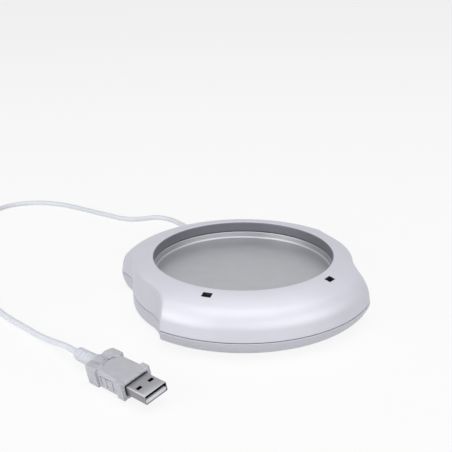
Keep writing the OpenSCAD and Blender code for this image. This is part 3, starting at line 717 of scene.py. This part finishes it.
# ---- Circuit board -----------------------------
# A crescent of fibreglass board under the front lobe, with its components, two screws,
# and the thermal cut-out that hangs under the pressure plate.
# Solder mask: glossy deep green, mottled where it is printed over the weave.
dress("circuit_board", moulded_plastic("solder_mask", "#0c4a27", "#125a31", 0.35, 2.0, 0.02, 1.56))
# Epoxy moulding compound: black and matte, with a sandy texture.
epoxy = moulded_plastic("epoxy_moulding", "#141416", "#202023", 0.55, 0.3, ior=1.56)
dress("board_components", epoxy)
dress("thermal_cutout", epoxy)
dress("board_screws", zinc_plate)

# ---- Indicators --------------------------------
# Two diodes on the board shine up through smoked acrylic guides, which stop a little
# below the cover's two windows.
# Cast clear resin: pale, smooth and shiny, with slight flow marks.
dress("indicator_leds", moulded_plastic("cast_clear_resin", "#d8dbd2", "#e6e9e0", 0.12, 2.0, 0.01, 1.54))
# Smoked acrylic with a frosted top: it looks black in its recess while the diodes are off.
dress("window_lenses", moulded_plastic("smoked_acrylic", "#050506", "#0a0a0b", 0.5, 0.4, 0.01, 1.49))

# ---- Slide switch ------------------------------
# A small slide switch in a plated case, behind the right waist wall, with three plated
# pins. Its ribbed knob slides along the slot in the cover.
dress("switch_body", zinc_plate)
# Gold-flashed brass: warm yellow, with a soft shine.
dress("switch_terminals", worked_metal("gold_flashed_brass", "#a9853a", "#b89448", 0.32, 0.4, 0.005))
knob_low, knob_high = [Vector(corner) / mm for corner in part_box("switch_knob")]
knob_rib_h, knob_rib_w, knob_rib_pitch, knob_ribs = 0.5, 0.6, 1.1, 3


def block(bm, low, high, edge):
    """Adds a box between two corners, with rounded edges."""
    low, high = Vector(low), Vector(high)
    corners = bmesh.ops.create_cube(bm, size=1)["verts"]
    for corner in corners:
        corner.co = (low + high) / 2 + corner.co * (high - low)
    edges = {edge_of for corner in corners for edge_of in corner.link_edges}
    bmesh.ops.bevel(bm, geom=list(edges), offset=edge, segments=3, affect="EDGES", profile=0.5)


bm = bmesh.new()
knob_face = knob_high.x - knob_rib_h
block(bm, knob_low, (knob_face, knob_high.y, knob_high.z), 0.25)
for i in range(knob_ribs):
    rib_y = knob_low.y + 0.3 + knob_rib_pitch * i
    rib_low = (knob_face - 0.3, rib_y, knob_low.z + 0.1)
    block(bm, rib_low, (knob_high.x, rib_y + knob_rib_w, knob_high.z - 0.1), 0.2)
# Moulded ABS: pale grey, satin, with the light texture of a spark-eroded mould.
pale_abs = moulded_plastic("moulded_abs", "#d4d4d8", "#dddde1", 0.45, 0.5, 0.02, 1.53)
knob_piece = new_piece(bm, "knob_cap", pale_abs)
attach(knob_piece, "knob")
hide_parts("switch_knob")

# ---- Leads -------------------------------------
# Vinyl-covered stranded wire, soldered to the board at one end: to the heater, to the
# switch, and from the cord.
# Extruded wire vinyl: a plain bright colour with a slight, even gloss.
red_vinyl = moulded_plastic("wire_vinyl_red", "#a81e18", "#b92a22", 0.45, 1.0, ior=1.53)
dress("heater_leads", red_vinyl)
dress("supply_leads", red_vinyl)
dress("switch_leads", moulded_plastic("wire_vinyl_black", "#1a1a1c", "#262628", 0.45, 1.0, ior=1.53))

# ---- Cord clamp --------------------------------
# Inside the tray a moulded bridge, held by two screws, grips the cord's end, so that a
# pull on the cord never reaches the solder.
dress("inner_cord", vinyl)
dress("cable_clamp", pale_abs)
dress("clamp_screws", zinc_plate)

# ---- Strain relief -----------------------------
# A soft vinyl sleeve in the tray's rear wall: a flange inside, a neck in the wall, and
# outside it a short taper with rings, which lets the cord bend without a kink.
sleeve_in, sleeve_bore, sleeve_r, sleeve_from = 62.6, cord_d / 2 + 0.05, 3.0, 5.3
ring_count, ring_pitch, ring_w, ring_depth = 4, 2.2, 1.3, 0.5
sleeve_l = grommet_end - sleeve_in
sleeve_section = [(sleeve_bore, 0), (3.6, 0), (3.6, 1.6), (2.6, 1.6), (2.6, sleeve_from)]
for i in range(ring_count):
    r, z = sleeve_r - 0.2 * i, sleeve_from + ring_pitch * i
    sleeve_section += [(r - ring_depth if i else r, z + 0.35), (r - 0.12, z + 0.6), (r, z + 0.8)]
    sleeve_section += [(r, z + ring_w + 0.5), (r - 0.12, z + ring_w + 0.7)]
    sleeve_section.append((r - ring_depth, z + ring_pitch))
sleeve_section += [(2.05, sleeve_l - 0.5), (1.9, sleeve_l - 0.12), (1.75, sleeve_l)]
sleeve_section.append((sleeve_bore, sleeve_l))
sleeve_frame = Matrix.Translation((0, sleeve_in, 0)) @ behind
bm = bmesh.new()
spin(bm, sleeve_section, sleeve_frame, closed=True)
# Moulded soft vinyl: the cord's own white, a little duller from the mould.
soft_vinyl = moulded_plastic("moulded_white_vinyl", "#cccfd7", "#d4d7de", 0.48, 0.8, 0.02, 1.53)
sleeve = new_piece(bm, "strain_relief", soft_vinyl, smooth_angle=50)
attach(sleeve, "warmer")
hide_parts("cord_grommet")

# ---- Plug shell --------------------------------
# A thin strip of nickel-plated steel, bent into a flat rectangular tube. Its joint runs
# along the underside, and two latch holes go through the top and the bottom.
shell_w, shell_h, shell_t, shell_in = 12.0, 4.5, 0.3, 6.0
core_x = -shell_l - shell_in
bend_r, lip, mouth_l = 0.55, 0.12, 0.6
joint_w, joint_depth = 0.12, 0.1
hole_w, hole_l, hole_x, hole_y = 1.9, 2.6, -6.7, 3.3


def across_plug(x, half_y, half_z, radius, lift=0.0):
    """Points round the plug's axis at x: a rectangle with round corners."""
    return [Vector((x, y, z + lift)) for y, z in rounded_box(half_y, half_z, radius, 5)]


def in_plug(piece):
    """Puts a mesh that is made along the plug's own axis where the plug lies."""
    at = plug_frame.copy()
    at.translation *= mm
    piece.data.transform(at)


shell_rings = [
    (core_x, 0.0), (-lip, 0.0), (-lip / 3, lip / 3), (0, lip),
    (0, shell_t - lip), (-lip / 3, shell_t - lip / 3), (-lip, shell_t), (-mouth_l, shell_t),
    (core_x, shell_t),
]
bm = bmesh.new()
loft(bm, [
    across_plug(x, shell_w / 2 - inset, shell_h / 2 - inset, bend_r - inset) for x, inset in shell_rings
], closed=True)
inner_half = shell_h / 2 - shell_t
for face in bm.faces:
    centre = face.calc_center_median()
    inside_face = abs(centre.y) < shell_w / 2 - shell_t + 0.01 and abs(centre.z) < inner_half + 0.01
    face.material_index = int(inside_face and centre.x < -mouth_l)

# Nickel-plated steel: a clean mid grey with a satin shine that varies slowly, and tiny specks.
nickel, tree, place = blank("nickel_plated_steel")
specks = add(tree, "TexNoise", Vector=place, Scale=every(0.5), Detail=4.0)
draw = add(tree, "TexNoise", Vector=place, Scale=every(2.5))
shade = add(tree, "MixRGB", Fac=specks, Color1=linear("#8c8c8f"), Color2=linear("#9d9da0"))
rough = add(tree, "MapRange", Value=draw, To_Min=0.30, To_Max=0.42)
bump = add(tree, "Bump", Height=specks, Distance=0.008 * mm)
shader = add(tree, "BsdfPrincipled", Base_Color=shade, Roughness=rough, Normal=bump, Metallic=1.0)
add(tree, "OutputMaterial", Surface=shader)
shell = new_piece(bm, "plug_sleeve", nickel, smooth_angle=40)
# Inside the shell a near-black steel stands in as painted shade, since hardly any light comes back out.
shell.data.materials.append(worked_metal("shell_inside_painted_shade", "#1c1c1e", "#262628", 0.6, 0.6))
latch_tools = [
    prism([(hole_x + x, side * hole_y + y) for x, y in rounded_box(hole_w / 2, hole_l / 2, 0.15, 3)],
          -shell_h, shell_h)
    for side in (-1, 1)
]
joint_tool = prism(rounded_box(shell_l, joint_w / 2, 0.01, 1), -shell_h, -shell_h / 2 + joint_depth)
carve(shell, latch_tools + [joint_tool], smooth_angle=40)
in_plug(shell)
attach(shell, "warmer")
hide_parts("plug_shell")

# ---- Plug tongue and contacts ------------------
# A moulded nylon insert fills the lower half of the shell's mouth and carries four
# springy contacts. Behind its white front it is near-black, as painted shade.
tongue_x, tongue_front = -0.35, 1.0
tongue_h, tongue_gap, tongue_edge = 1.85, 0.05, 0.25
tongue_half = shell_w / 2 - shell_t - tongue_gap
tongue_top = tongue_h - inner_half
tongue_lift = (tongue_top - inner_half) / 2
bm = bmesh.new()
tongue_rings = [
    (-shell_l - 0.1, 0.0), (tongue_x - tongue_front, 0.0), (tongue_x - tongue_edge, 0.0),
    (tongue_x - tongue_edge / 3, tongue_edge / 3), (tongue_x, tongue_edge),
]
loft(bm, [
    across_plug(x, tongue_half - inset, tongue_h / 2 - inset, 0.3, tongue_lift)
    for x, inset in tongue_rings
])
block(bm, (core_x, -tongue_half, -inner_half), (-shell_l - 0.05, tongue_half, inner_half), 0.1)
for face in bm.faces:
    face.material_index = int(face.calc_center_median().x < tongue_x - tongue_front + 0.1)
# Moulded nylon: clean bluish white with a satin face.
white_nylon = moulded_plastic("moulded_nylon", "#d9dae2", "#e2e3e9", 0.42, 0.8, 0.01, 1.53)
tongue = new_piece(bm, "plug_insert", white_nylon)
# Painted shade: the insert's well behind its white front gets near-black nylon.
nylon_well_shade = moulded_plastic("nylon_painted_shade", "#0b0b0c", "#131314", 0.6, 0.8, ior=1.53)
tongue.data.materials.append(nylon_well_shade)
in_plug(tongue)
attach(tongue, "warmer")
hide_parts("plug_tongue")

contact_w, contact_t, contact_tip = 1.0, 0.12, -3.2
contact_places = (-3.5, -1.0, 1.0, 3.5)
contact_line = [
    (-shell_l, 0.0), (contact_tip - 1.2, 0.0), (contact_tip - 0.5, 0.03), (contact_tip, -0.1),
]
bm = bmesh.new()
for y in contact_places:
    loft(bm, [
        [Vector((x, y + side * contact_w / 2, tongue_top + z + up * contact_t))
         for side, up in ((-1, 0), (1, 0), (1, 1), (-1, 1))]
        for x, z in contact_line
    ])
# Gold flash painted a dull dark yellow, as painted shade, because hardly any light reaches it.
gold_painted_shade = worked_metal("gold_flash_painted_shade", "#4d3f22", "#5c4b29", 0.45, 0.4)
contacts = new_piece(bm, "plug_springs", gold_painted_shade)
in_plug(contacts)
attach(contacts, "warmer")
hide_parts("plug_contacts")
dress("plug_core", white_nylon)

# ---- Plug overmould ----------------------------
# Cloudy translucent vinyl moulded over the plug: a collar with two ears, a grip with finger
# pads and a flat panel on top, and a shoulder with two soft humps that narrows to the cord.
collar_half, ear_half, grip_half, back_half, rear_half = 7.2, 8.3, 7.2, 8.3, 6.0
front_z, panel_z, ear_z, back_z, rear_z = 3.9, 4.4, 4.4, 5.0, 4.2
grip_low, rear_low, ear_low = -5.0, -4.9, -4.4
bay_r, bay_c = 5.0, Vector((back_x + 3.5, 0))
tube_r, hump_round = 4.0, 1.1
ear_in, ear_soft = 6.6, 0.3


def plug_ring(x, half, low, upper):
    """A section at x: the right upper side's points, and below a keel with a bevel on each side."""
    right = [*upper, (half, low + (half - keel_half) * math.tan(plug_roll)), (keel_half, low)]
    return [Vector((x, y, z)) for y, z in right + [(-y, z) for y, z in reversed(right)]]


def grip_ring(x, half, top, low, cut):
    """The grip's section at x: a flat top with cut corners."""
    return plug_ring(x, half, low, [(half - cut, top), (half, top - cut)])


def hump_ring(x, half, top, low, round_by, dip):
    """The shoulder's section at x: round upper corners and, by the share dip, a hollow between
    two humps that bares the round tube along the middle."""
    upper = [(y, top + (math.sqrt(tube_r ** 2 - y ** 2) - top) * dip) for y in (0.5, 1.2, 1.9, 2.4)]
    upper += [(2.7, top - 1.5 * dip), (3.6, top - 0.75 * dip), (4.8, top - 0.15 * dip)]
    upper += arc(Vector((half - round_by, top - round_by)), round_by, 0, 90, 4)
    return plug_ring(x, half, low, upper)


bm = bmesh.new()
loft(bm, [
    grip_ring(collar_x, collar_half - 0.2, front_z - 0.2, ear_low, 0.4),
    grip_ring(collar_x - 0.3, collar_half, front_z, grip_low, 0.4),
    grip_ring(grip_x, grip_half, panel_z - 0.2, grip_low, 0.7),
    grip_ring(back_x - 2, grip_half, panel_z, grip_low, 1.2),
])
ear = [(ear_in, ear_z), (ear_half - ear_soft, ear_z), (ear_half, ear_z - ear_soft)]
ear += [(ear_half, ear_low + 0.4), (ear_half - 0.4, ear_low), (ear_in, ear_low)]
for side in (-1, 1):
    loft(bm, [[Vector((x, side * y, z)) for y, z in ear] for x in (grip_x - 0.4, collar_x - 0.2)])
loft(bm, [
    hump_ring(back_x, back_half, back_z, back_low, hump_round, 0),
    hump_ring(back_x - 1.8, back_half, back_z, back_low, hump_round, 0.1),
    hump_ring(back_x - 2.4, back_half, back_z, back_low, hump_round, 1),
    hump_ring(taper_x, back_half, back_z - 0.1, back_low, hump_round, 1),
    hump_ring(taper_x - 1.0, back_half - 0.7, rear_z + 0.5, back_low + 0.1, 1.3, 0.8),
    hump_ring(rear_x, rear_half, rear_z - 0.1, rear_low, 1.6, 0.5),
])
# Translucent vinyl: pale grey and milky, with a satin skin and slow cloudy streaks.
cloudy = finish(
    "cloudy_vinyl", "#b3b3ba", "#c0c0c7", 0.41, 0.8, 0.01, streaks=3.5, detail=2.0, IOR=1.53,
    Subsurface_Weight=0.45, Subsurface_Radius=(1, 1, 1), Subsurface_Scale=0.9 * mm,
)
overmould = new_piece(bm, "plug_overmould", cloudy)
fuse_cell = 0.2
fuse = overmould.modifiers.new("fuse", "REMESH")
fuse.mode, fuse.voxel_size = "VOXEL", fuse_cell * mm
soften = overmould.modifiers.new("soften", "SMOOTH")
soften.factor, soften.iterations = 0.5, 3


def axis_slot(x0, x1, half_y, half_z, radius):
    """A cutter along the plug's axis from x0 to x1."""
    bm = bmesh.new()
    loft(bm, [across_plug(x, half_y, half_z, radius) for x in (x0, x1)])
    return bm


# On each side two finger pads stand between three upright grooves, under one that runs along
groove_low, groove_high, groove_depth, groove_w = -2.7, 2.2, 0.5, 0.7
groove_places, long_rear, long_front, long_half = (-28.6, -25.1, -20.6), -28.4, -20.1, 0.3
grooves = [(x, x + groove_w, groove_low, groove_high) for x in groove_places]
grooves.append((long_rear, long_front, groove_high - long_half, groove_high + long_half))
groove_tools = []
for side in (-1, 1):
    low_y, high_y = sorted((side * (grip_half - groove_depth), side * (grip_half + 2)))
    for rear, front, bottom, top in grooves:
        tool = bmesh.new()
        block(tool, (rear, low_y, bottom), (front, high_y, top), 0.12)
        groove_tools.append(tool)
# The hollow behind the panel is deep where the two mould halves meet, in two short bites
near_bite = [(-32.0, -3.8), (-32.4, -1.9), (-32.0, -0.5), (-32.6, -0.4), (-33.3, -1.9), (-32.9, -3.6)]
far_bite = [(-34.5, 0.1), (-33.6, 0.8), (-31.4, 0.7), (-31.4, 1.1), (-33.6, 1.4), (-34.7, 0.6)]
bay_line = arc(bay_c, bay_r + 0.15, -76, -28, 16) + arc(bay_c, bay_r - 0.15, -28, -76, 16)
boot_r, boot_tip_r, band_r, band_l = 3.5, 3.05, 3.85, 1.8
carve(overmould, [
    prism(arc(bay_c, bay_r, -180, 180, 64)[:-1], panel_z - 0.02, back_z + 2),
    prism(near_bite, panel_z - 2.9, back_z + 2),
    prism(far_bite, panel_z - 2.2, back_z + 2),
    prism(bay_line, panel_z - 0.4, back_z + 2),
    axis_slot(core_x - 0.3, 1, shell_w / 2 + 0.05, shell_h / 2 + 0.05, bend_r),
    axis_slot(collar_x - 1.5, 1, shell_w / 2 + 0.6, shell_h / 2 + 0.6, bend_r + 0.5),
    axis_slot(taper_x - 0.5, core_x, 5.4, 2.6, 0.3),
    axis_slot(rear_x - 1, taper_x - 0.4, boot_r + 0.05, boot_r + 0.05, boot_r),
    axis_slot(rear_x - 1, rear_x + 0.9, band_r + 0.1, band_r + 0.1, band_r),
    *groove_tools,
])
in_plug(overmould)
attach(overmould, "warmer")
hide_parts("plug_cover")

# ---- Plug boot ---------------------------------
# A ribbed sleeve of soft white vinyl that grows out of the shoulder, thins a little
# towards the cord, and lets the cord bend behind the plug.
rib_pitch, rib_gap, rib_depth, ribs_from = 2.6, 1.0, 0.3, 4
steps_per_mm = 6
boot_round, boot_in, neck_r = 0.8, 1.9, boot_r - 0.5
boot_section = [(0.3, -boot_in), (boot_r, -boot_in), (boot_r, -0.9), (band_r, -0.85)]
boot_section += [(band_r, band_l - 0.2), (band_r - 0.15, band_l)]
boot_section += [(neck_r, band_l + 0.05), (neck_r, band_l + 0.45)]
for i in range(int((band_l + 0.5) * steps_per_mm), int((boot_l - boot_round) * steps_per_mm) + 1):
    z = i / steps_per_mm
    taper = boot_r - (boot_r - boot_tip_r) * z / boot_l
    into_gap = (z - 1) % rib_pitch - (rib_pitch - rib_gap)
    groove = math.sin(math.pi * into_gap / rib_gap) if z > ribs_from and into_gap > 0 else 0
    boot_section.append((taper - rib_depth * groove, z))
boot_section += arc(Vector((boot_tip_r - boot_round, boot_l - boot_round)), boot_round, 72, 0, 4)
boot_section.append((0.3, boot_l))
boot_frame = Matrix.Translation((rear_x, 0, 0)) @ Matrix.Rotation(math.radians(-90), 4, "Y")
bm = bmesh.new()
spin(bm, boot_section, boot_frame)
boot = new_piece(bm, "cord_boot", soft_vinyl, smooth_angle=50)
in_plug(boot)
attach(boot, "warmer")
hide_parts("plug_boot")

# ---- Table and light ---------------------------
# A white table that keeps a soft shadow, and five large soft lamps: a wide one overhead, one at
# the left, and three low ones. Gloss shows the white room, which adds no light of its own.
table_half, table_drop = 3000, 0.02
bm = bmesh.new()
bmesh.ops.create_grid(bm, x_segments=1, y_segments=1, size=table_half)
bmesh.ops.translate(bm, vec=(0, 0, -table_drop), verts=bm.verts)


def looked_at(tree):
    """One for the rays that show things, in view, in gloss or through glass, and none for those
    that light them."""
    rays = add(tree, "LightPath").outputs
    shown = add(
        tree, "Math", {"operation": "MAXIMUM"}, _0=rays["Is Camera Ray"], _1=rays["Is Glossy Ray"])
    return add(tree, "Math", {"operation": "MAXIMUM"}, _0=shown, _1=rays["Is Transmission Ray"])


# Matte white board, faintly uneven. Where it is looked at it mostly glows, so that it stays white.
table_top, tree, place = blank("matte_white_table")
unevenness = add(tree, "TexNoise", Vector=place, Scale=every(40))
shade = add(tree, "MixRGB", Fac=unevenness, Color1=linear("#f4f4f6"), Color2=linear("#f8f8fa"))
shader = add(tree, "BsdfPrincipled", Base_Color=shade, Roughness=0.9, Specular_IOR_Level=0.1)
glow = add(tree, "Emission", Color=(1, 1, 1, 1), Strength=1.0)
share = add(tree, "Math", {"operation": "MULTIPLY"}, _0=looked_at(tree), _1=0.85)
mixed = add(tree, "MixShader", _0=share, _1=shader, _2=glow)
add(tree, "OutputMaterial", Surface=mixed)
table_top.cycles.emission_sampling = "NONE"
table = new_piece(bm, "table", table_top)

world = scene.world or bpy.data.worlds.new("room")
scene.world = world
world.use_nodes = True
tree = world.node_tree
tree.nodes.clear()
room = add(tree, "Background", Color=(0.97, 0.98, 1, 1), Strength=looked_at(tree))
add(tree, "OutputWorld", Surface=room)

# Where each lamp hangs, its size, and its watts. All of them face the warmer's middle.
lit_middle = Vector((0, 0, 10))
lamps = {
    "overhead": ((0, -50, 950), (1300, 900), 6.6),
    "left": ((-850, -150, 450), (700, 600), 2.1),
    "low_left": ((-800, -350, 160), (700, 250), 1.9),
    "low_front": ((0, -850, 330), (900, 350), 2.3),
    "low_right": ((650, -650, 350), (600, 400), 1.9),
}
for lamp_name, (at, size, watts) in lamps.items():
    lamp_data = bpy.data.lights.new(lamp_name, "AREA")
    lamp_data.shape, lamp_data.energy = "RECTANGLE", watts
    lamp_data.size, lamp_data.size_y = size[0] * mm, size[1] * mm
    lamp = bpy.data.objects.new(lamp_name, lamp_data)
    scene.collection.objects.link(lamp)
    lamp.location = Vector(at) * mm
    lamp.rotation_mode = "QUATERNION"
    lamp.rotation_quaternion = (lit_middle - Vector(at)).to_track_quat("-Z", "Y")

scene.view_settings.view_transform = "Standard"
